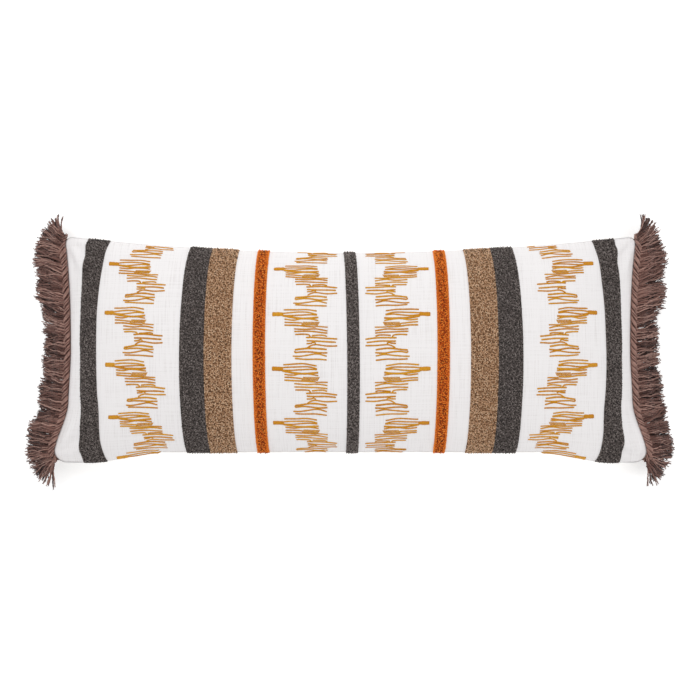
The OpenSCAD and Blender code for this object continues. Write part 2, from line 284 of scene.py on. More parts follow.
def tubes(shape, paths, radius, sides, up, tone, turn=None, lobe=0.0, flat=1.0):
    """Adds closed tubes round the paths [tube, point, xyz]. turn twists the section, lobe makes it
    two-lobed, like a yarn of two plies, and flat squeezes it along up."""
    n, k, _ = paths.shape
    tangent = unit(np.gradient(paths, axis=1))
    across = unit(np.cross(tangent, np.broadcast_to(up, paths.shape)))
    top = np.cross(across, tangent)
    start = np.arange(sides) * math.tau / sides
    angle = start + (0 if turn is None else turn[..., None])
    r = np.broadcast_to(radius, (n, k))[..., None] * (1 + lobe * np.cos(2 * start))
    points = (paths[:, :, None] + (r * np.cos(angle))[..., None] * across[:, :, None]
              + (flat * r * np.sin(angle))[..., None] * top[:, :, None])
    wall, ends = tube_faces(k, sides)
    offset = (np.arange(n) * k * sides)[:, None, None]
    faces = [(wall + offset).reshape(-1, 4), (ends + offset).reshape(-1, sides)]
    thread = np.stack(np.broadcast_arrays(distance(paths)[..., None], angle / math.tau, 0.0), -1)
    tone = np.broadcast_to(np.reshape(tone, (-1, 1, 1)), (n, k, sides)).ravel()
    shape.add(points, faces, thread=thread.reshape(-1, 3), tone=tone)


# ---- materials

class Graph:
    """A material with a Principled shader, and short ways to add nodes to it."""

    def __init__(self, name, finish):
        self.material = bpy.data.materials.new(name)
        self.material.use_nodes = True
        tree = self.material.node_tree
        self.nodes, self.links = tree.nodes, tree.links
        self.shader = self.nodes["Principled BSDF"]
        for socket, value in finish.items():
            self.shader.inputs[socket].default_value = value

    def put(self, value, socket):
        if isinstance(value, bpy.types.NodeSocket):
            self.links.new(value, socket)
        elif value is not None:
            socket.default_value = value

    def add(self, kind, inputs, output=0, **settings):
        """One output of a new node with these inputs and settings."""
        node = self.nodes.new(f"ShaderNode{kind}")
        set_all(node, **settings)
        for key, value in inputs.items():
            self.put(value, node.inputs[key])
        return node.outputs[output]

    def attribute(self, name, output="Vector"):
        return self.add("Attribute", {}, output, attribute_name=name)

    def place(self):
        return self.add("TexCoord", {}, "Object")

    def scaled(self, vector, scale):
        return self.add("VectorMath", {0: vector, 1: scale}, operation="MULTIPLY")

    def noise(self, vector, scale=1.0, detail=2.0, rough=0.5):
        inputs = {"Vector": vector, "Scale": scale, "Detail": detail, "Roughness": rough}
        return self.add("TexNoise", inputs, "Fac")

    def math(self, operation, a, b=None, c=None):
        return self.add("Math", {0: a, 1: b, 2: c}, operation=operation)

    def line(self, value, factor, extra):
        """value * factor + extra"""
        return self.math("MULTIPLY_ADD", value, factor, extra)

    def uneven_tone(self, fuzz, amount):
        """The piece's own tone, varied by amount in all."""
        return self.math("ADD", self.attribute("tone", "Fac"), self.line(fuzz, amount, -amount / 2))

    def split(self, vector):
        node = self.nodes.new("ShaderNodeSeparateXYZ")
        self.put(vector, node.inputs[0])
        return node.outputs

    def wave(self, value, pitch):
        """A sine of value whose period is pitch."""
        return self.math("SINE", self.line(value, math.tau / pitch, 0))

    def ramp(self, value, stops):
        """Colour ramp; each stop is (place, sRGB 0-255)."""
        node = self.nodes.new("ShaderNodeValToRGB")
        self.put(value, node.inputs[0])
        ends = node.color_ramp.elements
        for k, (place, colour) in enumerate(stops):
            stop = ends[k] if k < 2 else ends.new(place)
            stop.position = place
            stop.color = srgb(*colour)
        return node.outputs["Color"]

    def finish(self, tone, stops, height=None, strength=0, depth=0, rough=None):
        """The material, with the colours of stops by tone, and bumps by height."""
        self.put(self.ramp(tone, stops), self.shader.inputs["Base Color"])
        self.put(rough, self.shader.inputs["Roughness"])
        if height is not None:
            normal = self.add("Bump", {"Strength": strength, "Distance": depth, "Height": height})
            self.put(normal, self.shader.inputs["Normal"])
        return self.material


def srgb(r, g, b):
    """Linear RGBA of an sRGB colour given in 0-255."""
    c = np.array([r, g, b]) / 255
    return (*np.where(c <= 0.04045, c / 12.92, ((c + 0.055) / 1.055) ** 2.4), 1.0)


def slub_cotton(name, light, dark):
    """Plain-woven cotton with uneven threads, laid out on the flat cloth."""
    g = Graph(name, {"Roughness": 0.92, "Specular IOR Level": 0.25, "Sheen Weight": 0.15})
    place = g.attribute("cloth")
    warp = g.noise(g.scaled(place, (1250, 22, 1)), detail=1)
    weft = g.noise(g.scaled(place, (22, 1250, 1)), detail=1)
    slub_up = g.noise(g.scaled(place, (560, 13, 1)))
    slub_across = g.noise(g.scaled(place, (13, 560, 1)))
    u, v, _ = g.split(place)
    weave = g.math("MULTIPLY", g.wave(u, 1.3 * MM), g.wave(v, 1.3 * MM))
    threads = g.line(weft, 0.7, g.math("MULTIPLY", warp, 1.3))
    slubs = g.line(slub_across, 0.8, g.math("MULTIPLY", slub_up, 1.2))
    tone = g.line(slubs, 0.6, g.math("MULTIPLY", threads, 0.4))
    height = g.line(weave, 0.12, tone)
    return g.finish(tone, [(0.68, dark), (1.06, light)], height, strength=0.3, depth=0.5 * MM)


def looped_pile(name, stops):
    """Looped yarn pile. tone says how light each loop is, from 0 at the backing to 1. The dark low end of
    the stops is painted shade, for the backing and the dark loops that stand for the gaps between loops.
    """
    g = Graph(name, {"Roughness": 0.95, "Specular IOR Level": 0.15, "Sheen Weight": 0.1})
    fuzz = g.noise(g.place(), scale=2600, detail=3, rough=0.7)
    return g.finish(g.uneven_tone(fuzz, 0.22), stops, fuzz, strength=0.5, depth=0.25 * MM)


def satin_thread(name, stops):
    """Satin stitches that run across a strand, with a slight slant."""
    g = Graph(name, {"Specular IOR Level": 0.3})
    along, around, _ = g.split(g.attribute("thread"))
    stitch = g.wave(g.line(around, 0.6 * MM, along), 0.75 * MM)
    # Random patches of browner thread: painted shade, laid on at random, for the duller look of the shiny
    # thread where it turns from the light.
    painted_shade_noise = g.noise(g.place(), scale=420)
    tone = g.line(stitch, 0.12, g.uneven_tone(painted_shade_noise, 0.5))
    return g.finish(tone, stops, stitch, strength=0.9, depth=0.25 * MM)


def plied_yarn(name, stops):
    """Soft cotton yarn of twisted plies, slightly hairy."""
    g = Graph(name, {"Roughness": 0.95, "Specular IOR Level": 0.15, "Sheen Weight": 0.2})
    along, around, _ = g.split(g.attribute("thread"))
    ply = g.wave(g.line(around, 3 * MM, along), 1.5 * MM)
    fuzz = g.noise(g.place(), scale=1900, detail=3, rough=0.65)
    tone = g.uneven_tone(fuzz, 0.3)
    return g.finish(tone, stops, g.line(ply, 0.3, fuzz), strength=0.6, depth=0.3 * MM)


def woven_tape(name, light, dark, pitch, axes=(0, 2)):
    """Close twill of the tapes and the label. axes are the two directions that it lies in."""
    g = Graph(name, {"Roughness": 0.85, "Specular IOR Level": 0.25})
    parts = g.split(g.place())
    a, b = (parts[k] for k in axes)
    twill = g.wave(g.math("ADD", a, b), pitch)
    rib = g.wave(a, pitch / 2)
    height = g.line(rib, 0.4, twill)
    fuzz = g.noise(g.place(), scale=900)
    tone = g.line(height, 0.12, fuzz)
    return g.finish(tone, [(0.3, dark), (0.7, light)], height, strength=0.4, depth=0.1 * MM)


def soft_fibre(name, light, dark, scale, depth):
    """Matted fibre or thin non-woven cloth."""
    g = Graph(name, {"Roughness": 0.95, "Specular IOR Level": 0.2, "Sheen Weight": 0.2})
    fuzz = g.noise(g.place(), scale=scale, detail=5, rough=0.7)
    return g.finish(fuzz, [(0.35, dark), (0.65, light)], fuzz, strength=0.6, depth=depth)


def nylon(name, light, dark):
    g = Graph(name, {})
    fuzz = g.noise(g.place(), scale=1400)
    rough = g.line(fuzz, 0.2, 0.25)
    return g.finish(fuzz, [(0.3, dark), (0.7, light)], fuzz, 0.1, 0.05 * MM, rough)


def brushed_metal(name, light, dark):
    g = Graph(name, {"Metallic": 1.0, "Anisotropic": 0.3})
    scratch = g.noise(g.scaled(g.place(), (300, 9000, 9000)), detail=3)
    rough = g.line(scratch, 0.25, 0.22)
    return g.finish(scratch, [(0.3, dark), (0.7, light)], scratch, 0.15, 0.03 * MM, rough)


# ---- camera, light and floor

def add_camera():
    """Straight above the pillow, its long side level in the picture."""
    data = bpy.data.cameras.new("camera")
    set_all(data, sensor_width=36, lens=CAMERA_LENS)
    camera = new_object("camera", data)
    camera.location = (CAMERA_OFF, CAMERA_OFF, SEAM_Z + CAMERA_UP)
    scene.camera = camera


def add_light(name, place, size, power):
    data = bpy.data.lights.new(name, "AREA")
    set_all(data, size=size, energy=power)
    aim = Vector(AIM) - Vector(place)
    set_all(new_object(name, data), location=place, rotation_euler=aim.to_track_quat("-Z", "Y").to_euler())


def add_floor():
    """A wide floor that gives off a little light, to come out as white as the photo's ground."""
    g = Graph("floor", {"Roughness": 0.9, "Emission Strength": 0.42, "Emission Color": (1, 1, 1, 1)})
    speck = g.noise(g.place(), scale=3)
    mesh = bpy.data.meshes.new("floor")
    corners = [(14 * x, 14 * y, 0) for x, y in ((-1, -1), (1, -1), (1, 1), (-1, 1))]
    mesh.from_pydata(corners, [], [(0, 1, 2, 3)])
    mesh.materials.append(g.finish(speck, [(0.3, (247, 247, 247)), (0.7, (250, 250, 250))]))
    floor = new_object("floor", mesh)
    floor.location.z = -0.5 * MM


def add_studio():
    scene.view_settings.view_transform = "Standard"
    world = bpy.data.worlds.new("studio")
    world.use_nodes = True
    background = world.node_tree.nodes["Background"]
    background.inputs["Color"].default_value = (1, 1, 1, 1)
    background.inputs["Strength"].default_value = 0.62
    scene.world = world
    add_light("key", (-0.4, 1.2, 1.8), size=1.2, power=14)
    add_light("fill", (0.9, -1.0, 2.0), size=1.6, power=8)
    add_floor()


add_camera()
add_studio()


# ---- the stuffed cover

def end_x(t):
    """Where an end seam is in X, at t from -1 at the lower corner to 1 at the upper one. The lower
    corners are stuffed fuller, and stand out more roundly."""
    k = np.abs(t)
    upper = CORNER_OUT_TOP * k**2.4
    lower = 4 * MM * smooth(k / 0.5) + (CORNER_OUT_BOTTOM - 1 * MM) * smooth((k - 0.45) / 0.5)
    return HALF_LENGTH + np.where(t > 0, upper, lower)


def side_y(s, v):
    """How far a long seam is from the middle in Y, at s along the pillow."""
    top = HALF_WIDTH_TOP + (HALF_WIDTH_CORNER - HALF_WIDTH_TOP) * s * s
    bend = smooth((np.abs(s) - STRAIGHT_SHARE) / (BEND_END_SHARE - STRAIGHT_SHARE))
    bottom = HALF_WIDTH_BOTTOM + (HALF_WIDTH_CORNER - HALF_WIDTH_BOTTOM) * bend
    return np.where(v > 0, top, bottom)


def drawn_shape(u, v, side):
    """The CAD part's crowned shape over the flat cloth: side 1 is the front and -1 the back."""
    s, t = u / CUT_L, v / CUT_W
    k = CUT_W / side_y(s, v)
    across = np.clip(t * (k - (k - 1) * t**4), -1, 1)
    k = CUT_L / HALF_LENGTH
    along = np.clip(s * (k - (k - 1) * s**4), -1, 1)
    x = along * HALF_LENGTH + (end_x(across) - HALF_LENGTH) * along**5
    y = across * side_y(along, v)
    swell = np.sqrt(1 - across**2) ** 1.35 * np.clip(1 - along**4, 0, 1) ** 0.6
    z = SEAM_Z + side * (CROWN if side > 0 else BACK_CROWN) * swell
    return np.stack([x, y, z], -1)


def sewn_cover(front, back, flat):
    """Both panels as one mesh, joined along their edges, with the flat cut cloth as a second shape.
    Returns the object, its rim's vertices, and each panel's grid of vertices."""
    rows, columns = front.shape[:2]
    n = rows * columns
    front_id = np.arange(n).reshape(rows, columns)
    back_id = front_id.copy()
    back_id[1:-1, 1:-1] = n + np.arange((rows - 2) * (columns - 2)).reshape(rows - 2, columns - 2)
    points = np.vstack([front.reshape(-1, 3), back[1:-1, 1:-1].reshape(-1, 3)])
    cut = np.vstack([flat.reshape(-1, 3), flat[1:-1, 1:-1].reshape(-1, 3)])
    quads = grid_quads(rows, columns)
    faces = np.vstack([front_id.ravel()[quads], back_id.ravel()[quads][:, ::-1]])
    mesh = bpy.data.meshes.new("cover_cloth")
    mesh.from_pydata(points.tolist(), [], faces.tolist())
    cover = new_object("cover_cloth", mesh)
    cover.shape_key_add(name="Basis")
    key = cover.shape_key_add(name="cut")
    key.data.foreach_set("co", cut.ravel())
    key.value = 0
    rim = np.unique(np.concatenate([front_id[0], front_id[-1], front_id[:, 0], front_id[:, -1]]))
    return cover, rim, front_id, back_id


def inflate(front, back, flat):
    """Sews the two panels together along their edges and blows the cover up as cloth: the seam stays
    on its outline, and the cloth keeps the size it was cut to. Returns both panels' points."""
    cover, rim, front_id, back_id = sewn_cover(front, back, flat)
    cover.vertex_groups.new(name="seam").add(rim.tolist(), 1.0, "REPLACE")
    cloth = cover.modifiers.new("cloth", "CLOTH")
    set_all(cloth.settings, rest_shape_key=cover.data.shape_keys.key_blocks["cut"],
            vertex_group_mass="seam", quality=8, mass=0.3, air_damping=5, tension_stiffness=40,
            compression_stiffness=40, shear_stiffness=10, bending_stiffness=0.5, use_pressure=True,
            uniform_pressure_force=2)
    cloth.settings.effector_weights.gravity = 0
    cloth.collision_settings.use_collision = False
    last = 28
    cloth.point_cache.frame_end = last
    for number in range(1, last + 1):
        scene.frame_set(number)
    done = cover.evaluated_get(bpy.context.evaluated_depsgraph_get())
    result = np.empty(len(cover.data.vertices) * 3)
    done.data.vertices.foreach_get("co", result)
    result = result.reshape(-1, 3)
    scene.frame_set(1)
    bpy.data.objects.remove(cover)
    return result[front_id], result[back_id]


soft_lumps = ripple(3, 150 * MM)
small_lumps = ripple(4, 45 * MM)
gathers = ripple(5, 13 * MM)


def relief(u, v):
    """How far the cloth stands off the smooth shape: soft lumps of the fill, gathers along the seams
    and folds that run in from the corners."""
    to_long = CUT_W - np.abs(v)
    to_end = CUT_L - np.abs(u)
    to_edge = np.minimum(to_long, to_end)
    free = smooth(to_edge / (30 * MM))
    lumps = 0.9 * MM * soft_lumps(u, v) * free + 0.25 * MM * small_lumps(u, v) * free
    ease = np.clip(to_edge / (5 * MM), 0, 1)
    seam_gathers = 0.35 * MM * gathers(u, 0.15 * v) * np.exp(-to_long / (14 * MM)) * ease
    end_gathers = 0.3 * MM * gathers(0.15 * u, v) * np.exp(-to_end / (12 * MM)) * ease
    reach = np.hypot(to_long, to_end)
    angle = np.arctan2(to_long, to_end)
    folds = 2.6 * MM * np.sin(9 * angle + 2 * np.sign(u) + np.sign(v)) * smooth(to_edge / (16 * MM))
    folds = folds * np.exp(-((reach - 42 * MM) / (30 * MM)) ** 2)
    return lumps + seam_gathers + end_gathers + folds


def corner_radius(v):
    return np.where(v > 0, 15, 22) * MM


def rounded_corners(points, u, v):
    """Turns the cover's square corners, which were trimmed round before sewing."""
    radius = corner_radius(v)
    p = np.clip(1 - (CUT_L - np.abs(u)) / radius, 0, 1)
    q = np.clip(1 - (CUT_W - np.abs(v)) / radius, 0, 1)
    x = np.sign(u) * radius * p * (np.sqrt(1 - q * q / 2) - 1)
    y = np.sign(v) * radius * q * (np.sqrt(1 - p * p / 2) - 1)
    return points + np.stack([x, y, 0 * x], -1)


def surface_normals(points):
    across, up = np.gradient(points, axis=0), np.gradient(points, axis=1)
    return unit(np.cross(across, up))


def rest_on_floor(points):
    """Flattens what would sink below the floor, with a soft bend at the edge of the flat part."""
    roundness = 5 * MM
    z = points[..., 2]
    z = (z + np.sqrt(z * z + roundness**2)) / 2
    z = z - z.min() * (1 - smooth(z / SEAM_Z))
    return np.concatenate([points[..., :2], z[..., None]], -1)


def cell_weights(place, cells):
    """First grid line, and the weights of it and of the three lines after it."""
    first = np.clip(np.floor(place).astype(int), 0, cells - 1)
    return first, spline_weights(place - first)


class Panel:
    """One panel of the cover as it lies: at(u, v, h) is the point h outside the flat place (u, v)."""

    def __init__(self, points, outward):
        layers = points, surface_normals(points) * outward
        self.points, self.normals = (extended(extended(a).swapaxes(0, 1)).swapaxes(0, 1) for a in layers)

    def at(self, u, v, h=0.0):
        u, v, h = np.broadcast_arrays(u, v, h)
        i, wi = cell_weights((u / CUT_L + 1) / 2 * GRID_U, GRID_U)
        j, wj = cell_weights((v / CUT_W + 1) / 2 * GRID_V, GRID_V)
        point, normal = 0, 0
        for a in range(4):
            for b in range(4):
                w = (wi[a] * wj[b])[..., None]
                point = point + w * self.points[i + a, j + b]
                normal = normal + w * self.normals[i + a, j + b]
        return point + unit(normal) * h[..., None]


def make_cover():
    """Front and back panel, simulated, with the relief of the fill on them."""
    u, v = flat_grid(GRID_U + 1, GRID_V + 1)
    shapes = drawn_shape(u, v, 1), drawn_shape(u, v, -1)
    shapes = inflate(*shapes, np.stack([u, v, SEAM_Z + 0 * u], -1))
    front, back = (rounded_corners(points, u, v) for points in shapes)
    lift = relief(u, v)[..., None]
    front = front + surface_normals(front) * lift
    back = rest_on_floor(back - surface_normals(back) * lift * 0.7)
    return Panel(front, 1), Panel(back, -1)


def slot_opening(panel):
    """A function of u: how far up the cloth the lower edge is turned back to leave the zip's slot."""
    u = np.linspace(-CUT_L, CUT_L, 4 * GRID_U + 1)
    v = np.linspace(0, 30 * MM, 61)
    points = panel.at(u[:, None], v - CUT_W)
    rise = np.abs(points[..., 2] - SEAM_Z)
    turned = np.array([np.interp(SLOT_HALF, np.maximum.accumulate(r), v) for r in rise])
    x = np.abs(points[:, 0, 0])
    turned = turned * (1 - smooth((x - SLOT_END) / (SLOT_SHUT - SLOT_END)))
    return lambda at: np.interp(at, u, turned)


def surface_of(panel):
    """The point on this panel, or h outside it, for (u, v), with the slot for the zip open."""
    turned = slot_opening(panel)

    def at(u, v, h=0.0):
        return panel.at(u, v + turned(u) * (1 - smooth((v + CUT_W) / SLOT_FADE)), h)

    return at


front, back = make_cover()
on_front, on_back = surface_of(front), surface_of(back)


def seam_gap(u):
    """Room between the panel and the seam's plane: the fringe's tape is sewn between the panels."""
    at_end = smooth((np.abs(u) - CUT_L + 18 * MM) / (6 * MM))
    return SEAM_GAP + (TAPE_ROOM - SEAM_GAP) * at_end


def kept_off(points, side, gap):
    """Moves points that are nearer to the seam's plane than gap out to it."""
    points[..., 2] = SEAM_Z + side * np.maximum(side * (points[..., 2] - SEAM_Z), gap)
    return points


def add_panel(name, surface, side, material):
    """A panel as a thin closed shell of cloth."""
    u, v = flat_grid(2 * GRID_U + 1, 2 * GRID_V + 1)
    outer, inner = (kept_off(surface(u, v, h), side, seam_gap(u)) for h in (0, -CLOTH_T))
    cloth = np.stack([u, v, np.zeros_like(u)], -1).reshape(-1, 3)
    shape = Shape()
    shape.shell(outer, inner, flip=side < 0, cloth=np.tile(cloth, (2, 1)))
    return shape.piece(f"{name}_cloth", material, "cover_cloth", [name])


# ---- pile stripes

TONES = {"gray_pile": (0.58, 0.26), "tan_pile": (0.63, 0.26), "rust_pile": (0.68, 0.3)}


def add_backing(shape, edges):
    """The flat cloth under the loops, as a thin closed strip. Its low tone is painted shade, so that it
    shows dark between the loops.
    """
    v = np.linspace(-CUT_W, CUT_W, 121)
    low, high = edges(v)
    u = low + (high - low) * np.linspace(0, 1, 9)[:, None]
    # Painted shade: the backing's tone of 0.2 makes it dark between the loops.
    shape.shell(on_front(u, v, BACKING_T), on_front(u, v, 0.05 * MM), tone=0.2, thread=np.zeros((1, 3)))


def loop_places(edges, rng):
    """Rows of loops, each half a step along from the last: the row and the number in it, and (u, v)."""
    low, high = edges(np.linspace(-CUT_W, CUT_W, 121))
    across = round(np.mean(high - low) / PILE_PITCH)
    along = round((2 * CUT_W - 2 * MM) / PILE_PITCH)
    i, j = (a.ravel() for a in grid(np.arange(across), np.arange(along)))
    n = len(i)
    v = -CUT_W + 1 * MM + (j + 0.5 + 0.5 * (i % 2) + rng.uniform(-0.25, 0.25, n)) * PILE_PITCH
    v = np.minimum(v, CUT_W - 0.8 * MM)
    jitter = np.where((i == 0) | (i == across - 1), 0.12, 0.28) * rng.uniform(-1, 1, n)
    low, high = edges(v)
    return i, j, low + (high - low) * (i + 0.5 + jitter) / across, v


def loop_paths(i, cu, cv, rng):
    """Each loop is an arch, turned and leaning its own way. Those in the outer rows are lower, and
    those at the long seams stand out past them."""
    n = len(i)
    yaw = rng.uniform(0, math.pi, n)
    span = rng.uniform(0.7, 1.0, n) * MM
    tall = rng.uniform(1.6, 2.4, n) * MM * np.where((i == 0) | (i == i.max()), 0.88, 1)
    lean = rng.normal(0, 0.3, (n, 2)) * MM
    foot = 0.45 * MM
    arc = np.radians([-10, 35, 90, 145, 190])
    over = np.sin(arc).clip(0)
    reach = -np.cos(arc) * span[:, None]
    height = foot + (tall[:, None] - foot) * np.sin(arc)
    u = cu[:, None] + reach * np.cos(yaw)[:, None] + over * lean[:, :1]
    v = cv[:, None] + reach * np.sin(yaw)[:, None] + over * lean[:, 1:]
    paths = on_front(u, np.clip(v, -CUT_W, CUT_W), height)
    past_seam = 1.8 * MM * np.sign(cv) * np.exp((np.abs(cv) - CUT_W) / (5 * MM))
    paths[..., 1] += past_seam[:, None] * over
    return paths


def loop_tones(slot, i, j, lift, rng):
    """How light each loop is. One in every block of two by two is dark, as painted shade for the shadowed
    gaps between the loops, and the two outer rows of a rust stripe are light."""
    across, along = i.max() + 1, j.max() + 1
    tone = np.clip(rng.normal(*TONES[slot], len(i)) + lift, 0, 1)
    # Painted shade: the loop picked in each block of two by two is darkened to a tenth of its tone.
    dark = rng.integers(0, 4, (across, along))[i // 2, j // 2] == 2 * (i % 2) + j % 2
    tone = np.where(dark, 0.1 * tone, tone)
    if slot == "rust_pile":
        from_edge = np.minimum(i, across - 1 - i)
        tone = np.where(from_edge == 1, np.maximum(tone, 0.5), tone)
        tone = np.where(from_edge == 0, rng.uniform(0.85, 1.0, len(i)), tone)
    return tone


def add_stripe(name, edges, material, slot, seed, lift=0.0):
    """A band of looped pile: small arches of yarn, close together, over a flat backing.
    edges(v) gives both edges of the band on the flat panel."""
    rng = np.random.default_rng(seed)
    shape = Shape()
    add_backing(shape, edges)
    i, j, u, v = loop_places(edges, rng)
    paths = loop_paths(i, u, v, rng)
    tone = loop_tones(slot, i, j, lift, rng)
    normal = unit(on_front(u, v, 1 * MM) - on_front(u, v))
    flat_side = unit(np.cross(paths[:, -1] - paths[:, 0], normal))
    tubes(shape, paths, LOOP_R, 5, flat_side[:, None], tone=tone)
    return shape.piece(f"{name}_pile", material, slot, [name])


def bowed(v, middle, lean, bow):
    """How far a line that runs across the panel is from its middle at v. All three are in mm."""
    t = v / CUT_W
    return (middle + lean * t + bow * t * t) * MM


def stripe_edges(side, inner, outer):
    """Edges of a side stripe, as a function of v; side is -1 on the left and 1 on the right."""
    def edges(v):
        near, far = (PATTERN_SHIFT + side * bowed(v, *edge) for edge in (inner, outer))
        return np.minimum(near, far), np.maximum(near, far)
    return edges


def centre_edges(v):
    middle = bowed(v, 4.3, -2, -4)
    return middle - CENTRE_STRIPE_W / 2, middle + CENTRE_STRIPE_W / 2


def add_stripes():
    # The low end of each set of stops is painted shade, for the dark loops and the backing.
    colours = {
        "gray_pile": [(0.0, (26, 23, 22)), (0.25, (88, 80, 77)), (0.65, (116, 107, 103)),
                      (1.0, (160, 150, 146))],
        "tan_pile": [(0.0, (54, 35, 22)), (0.25, (164, 124, 91)), (0.65, (216, 176, 140)),
                     (1.0, (240, 210, 177))],
        "rust_pile": [(0.0, (70, 25, 5)), (0.25, (190, 82, 20)), (0.7, (248, 136, 42)),
                      (1.0, (254, 162, 66))],
    }
    piles = {slot: looped_pile(slot, stops) for slot, stops in colours.items()}
    made = [add_stripe("centre_stripe", centre_edges, piles["gray_pile"], "gray_pile", 100, lift=0.15)]
    for name, spec in STRIPES.items():
        for side, word in SIDES:
            edges, slot = stripe_edges(side, spec["inner"], spec["outer"]), spec["slot"]
            made.append(add_stripe(f"{name}_{word}", edges, piles[slot], slot, 100 + len(made)))
    return made


# ---- embroidery

# Strands of one repeat: the width of each, and its points. A point is how far it is from the column's
# outer edge, in thousandths of the column's width, and above the tab, in thousandths of the repeat.
# The first is the tab.
MOTIF = [
    (3, (-10, 0), (75, 0), (160, 0)),
    (1, (165, 80), (350, 88), (500, 90), (675, 58)),
    (1, (140, 15), (250, 28), (400, 36), (550, 30), (680, -4)),
    (1, (140, -20), (280, -28), (420, -18), (560, -6), (680, -14)),
    (1.4, (150, -30), (250, -55), (400, -75), (550, -77), (700, -65)),
    (1, (180, -92), (320, -107), (430, -88), (560, -92), (700, -115)),
    (1, (180, -150), (300, -158), (450, -170)),
    (1.1, (180, -198), (340, -207), (500, -224), (660, -232)),
    (0.9, (660, -233), (750, -237), (845, -242)),
    (1, (330, -262), (500, -277), (650, -266), (740, -276), (840, -300)),
    (1, (330, -318), (500, -318), (650, -328), (840, -348)),
    (1, (345, -374), (470, -374), (560, -388), (575, -430)),
    (1, (600, -394), (700, -387), (780, -387), (835, -405)),
    (1.1, (510, -430), (660, -428), (800, -436), (990, -457)),
    (1.1, (520, -493), (660, -498), (800, -502), (970, -518)),
    (1, (520, -538), (590, -532), (630, -515), (660, -540)),
    (1, (530, -615), (590, -575), (660, -560), (820, -580), (990, -578)),
    (1.2, (340, -657), (450, -643), (550, -630), (670, -630), (830, -652)),
    (1.1, (340, -672), (350, -698), (450, -685), (570, -688), (710, -708), (840, -705)),
    (1, (310, -768), (410, -770), (550, -753), (690, -733), (830, -768)),
    (1, (340, -810), (500, -820), (670, -823), (830, -837)),
]
TAB_WIDTH = 6.4 * MM
TAB_H = 1.15 * STRAND_H
# Block of fine hatching between two strands, as shares of the same two
HATCH = dict(left=0.44, right=0.7, top=-0.13, bottom=-0.2, turns=15)
HATCH_W = 1.3 * MM
HATCH_H = 0.3 * MM


def add_strand(shape, points, width, height, rng):
    """One satin-stitched strand along the (u, v) points that lie on the panel: a low, rounded ridge
    with blunt ends."""
    tone = rng.uniform(0.5, 0.8)
    inside = np.flatnonzero(np.abs(points[:, 1]) < CUT_W - 1.0 * MM)
    if len(inside) < 3:
        return
    points = points[inside[0]:inside[-1] + 1]
    n = len(points)
    direction = unit(np.gradient(points, axis=0))
    normal = np.stack([-direction[:, 1], direction[:, 0]], -1)
    from_end = np.minimum(np.arange(n), np.arange(n)[::-1])
    size = np.where(from_end == 0, 0.85, 1.0) * (1 + 0.08 * rng.standard_normal(n).clip(-1, 1))
    around = np.radians([-8, 35, 90, 145, 188])
    half = width / 2 * size[:, None]
    uv = points[:, None] + normal[:, None] * (half * np.cos(around))[..., None]
    h = 0.12 * MM + height * size[:, None] * np.sin(around).clip(-0.05)
    ring = on_front(uv[..., 0], uv[..., 1], h)
    thread = np.stack(np.broadcast_arrays(distance(points)[:, None], around / math.tau, 0.0), -1)
    shape.add(ring, tube_faces(n, len(around)), thread=thread.reshape(-1, 3), tone=tone)


def add_embroidery(name, side, word, spec, material, seed):
    """A column of strands whose tabs point to the near end of the pillow."""
    rng = np.random.default_rng(seed)
    shape = Shape()
    tabs = [t * MM for t in spec["tabs"]]

    def on_panel(p):
        """(u, v) of points given as distances from the column's outer edge and in v."""
        return np.stack([PATTERN_SHIFT + side * (bowed(p[:, 1], *spec["edge"]) - p[:, 0]), p[:, 1]], -1)

    for tab, below in zip(tabs, tabs[1:] + [tabs[-1] - 80 * MM]):
        repeat = tab - below
        for k, (width, *points) in enumerate(MOTIF):
            p = along_curve(np.array(points) / 1000 * [COLUMN_W, repeat], 2 * MM)
            p[:, 1] += tab + 0.25 * MM * rng.standard_normal()
            p[:, 1] += 0.3 * MM * np.sin(p[:, 0] / (7 * MM) + rng.uniform(0, math.tau))
            wide, high = (STRAND_W * width, STRAND_H) if k else (TAB_WIDTH, TAB_H)
            add_strand(shape, on_panel(p), wide, high, rng)
        for k in range(HATCH["turns"]):
            a = HATCH["left"] + (HATCH["right"] - HATCH["left"]) * k / HATCH["turns"]
            ends = np.array([[a, HATCH["bottom"] - 0.02 * a], [a + 0.035, HATCH["top"] - 0.02 * a]])
            p = along_curve(ends * [COLUMN_W, repeat], 1.5 * MM)
            p[:, 1] += tab
            add_strand(shape, on_panel(p), HATCH_W, HATCH_H, rng)
    return shape.piece(f"{name}_{word}_stitches", material, "gold_thread", [f"{name}_{word}"])


# ---- fringe

def braid_x(y):
    """Middle of the plaited heading, beside the end seam."""
    t = np.clip(y / HALF_WIDTH_CORNER, -1, 1)
    radius = corner_radius(y)
    q = np.clip(1 - (HALF_WIDTH_CORNER - np.abs(y)) / radius, 0, 1)
    return end_x(t) - radius * (1 - np.sqrt(1 - q * q / 2)) + BRAID_W / 2 - BRAID_IN


